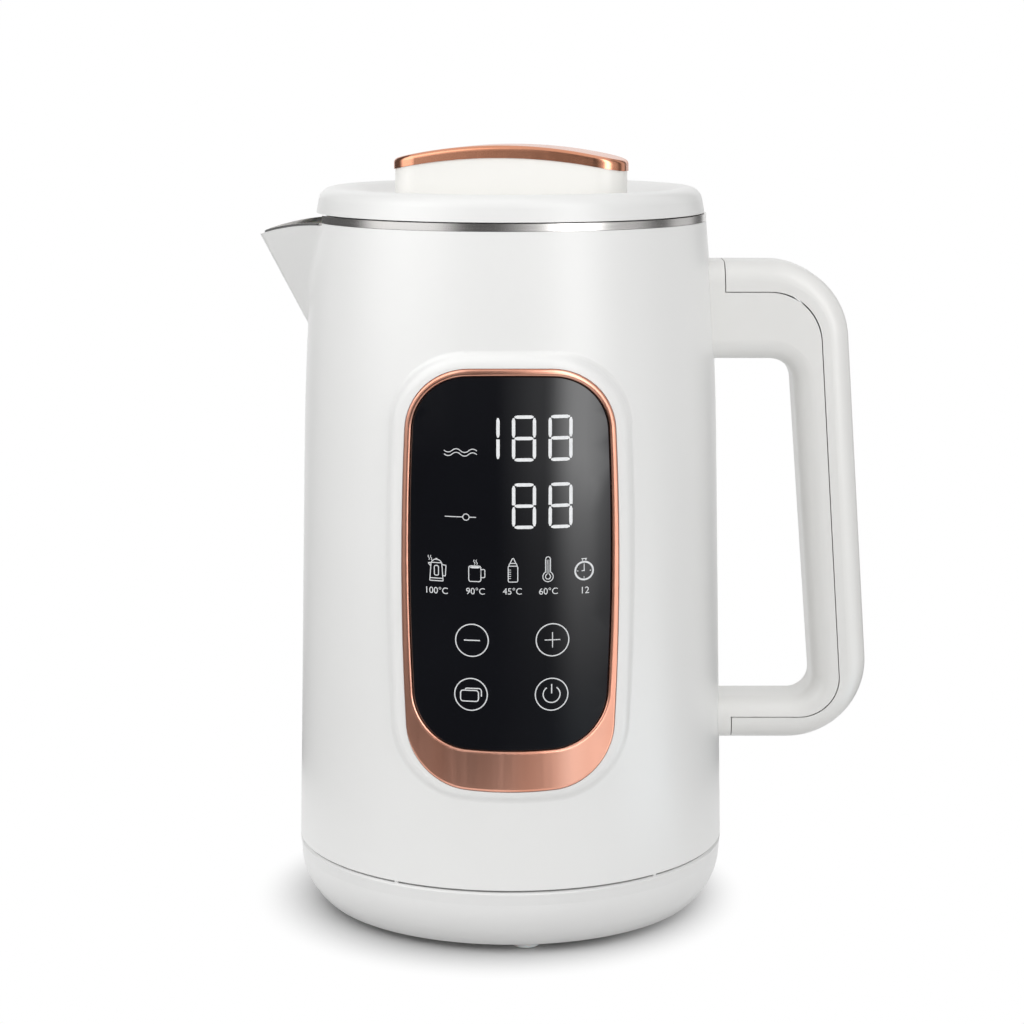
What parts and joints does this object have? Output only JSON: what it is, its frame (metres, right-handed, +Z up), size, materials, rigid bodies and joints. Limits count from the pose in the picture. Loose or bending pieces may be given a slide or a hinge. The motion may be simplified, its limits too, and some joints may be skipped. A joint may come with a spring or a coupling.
{
  "type": "electric jug kettle",
  "caption": "Round white electric jug with a steel vessel, spout, loop handle, loose lid and a touch display, standing on a round power base.",
  "frame": {"origin": "on the table, under the axis of the round base and jug", "axes": "+Z up along the jug's axis, -X to the spout, +X to the handle, -Y to the display"},
  "size_m": [0.198, 0.1429, 0.2494],
  "materials": {
    "white_body": "gloss",
    "steel": "bright",
    "copper_trim": "satin metallic",
    "black_glass": "gloss",
    "pale_silicone": "satin",
    "grey_rubber": "matte",
    "white_rubber": "satin",
    "pale_plastic": "matte",
    "dark_plastic": "matte",
    "contact_brass": "bright",
    "screw_steel": "bright",
    "cast_aluminium": "cast",
    "element_steel": "dull",
    "board_green": "satin",
    "light_guide": "matte",
    "yellow_tape": "satin",
    "capacitor_sleeve": "satin",
    "cable_grey": "matte"
  },
  "bodies": {
    "power_base": {"base_shell": "white_body", "base_plate": "pale_plastic", "base_feet": "white_rubber", "base_screws": "screw_steel", "cord_gland": "white_rubber"},
    "connector": {"base_connector": "dark_plastic", "connector_contacts": "contact_brass"},
    "jug": {"outer_shell": "white_body", "inner_vessel": "steel", "rim_gasket": "grey_rubber", "handle_grip": "white_body", "handle_cover": "white_body", "handle_screws": "screw_steel", "panel_frame": "copper_trim", "panel_glass": "black_glass", "display_tray": "dark_plastic", "display_board": "board_green", "digit_modules": "light_guide", "icon_guide": "light_guide", "touch_pads": "grey_rubber", "display_cable": "cable_grey", "bottom_cover": "pale_plastic", "bottom_screws": "screw_steel", "vessel_studs": "screw_steel", "heater_plate": "cast_aluminium", "heating_element": "element_steel", "thermal_cutouts": "dark_plastic", "temperature_probe": "screw_steel", "jug_socket": "dark_plastic", "socket_contacts": "contact_brass", "control_board": "board_green", "power_relay": "dark_plastic", "transformer": "yellow_tape", "capacitors": "capacitor_sleeve", "board_screws": "screw_steel"},
    "lid": {"lid_cover": "white_body", "lid_plug": "pale_plastic", "lid_seal": "pale_silicone", "lid_knob": "white_body", "knob_trim": "copper_trim", "lid_screws": "screw_steel"}
  },
  "joints": [
    {"name": "jug_turn", "type": "hinge", "parent": "power_base", "child": "connector", "pos_m": [0, 0, 0.02], "axis": [0, 0, 1], "continuous": true},
    {"name": "jug_lift", "type": "slide", "parent": "connector", "child": "jug", "axis": [0, 0, 1], "range_m": [0, 0.12]},
    {"name": "lid_lift", "type": "slide", "parent": "jug", "child": "lid", "axis": [0, 0, 1], "range_m": [0, 0.12]}
  ]
}
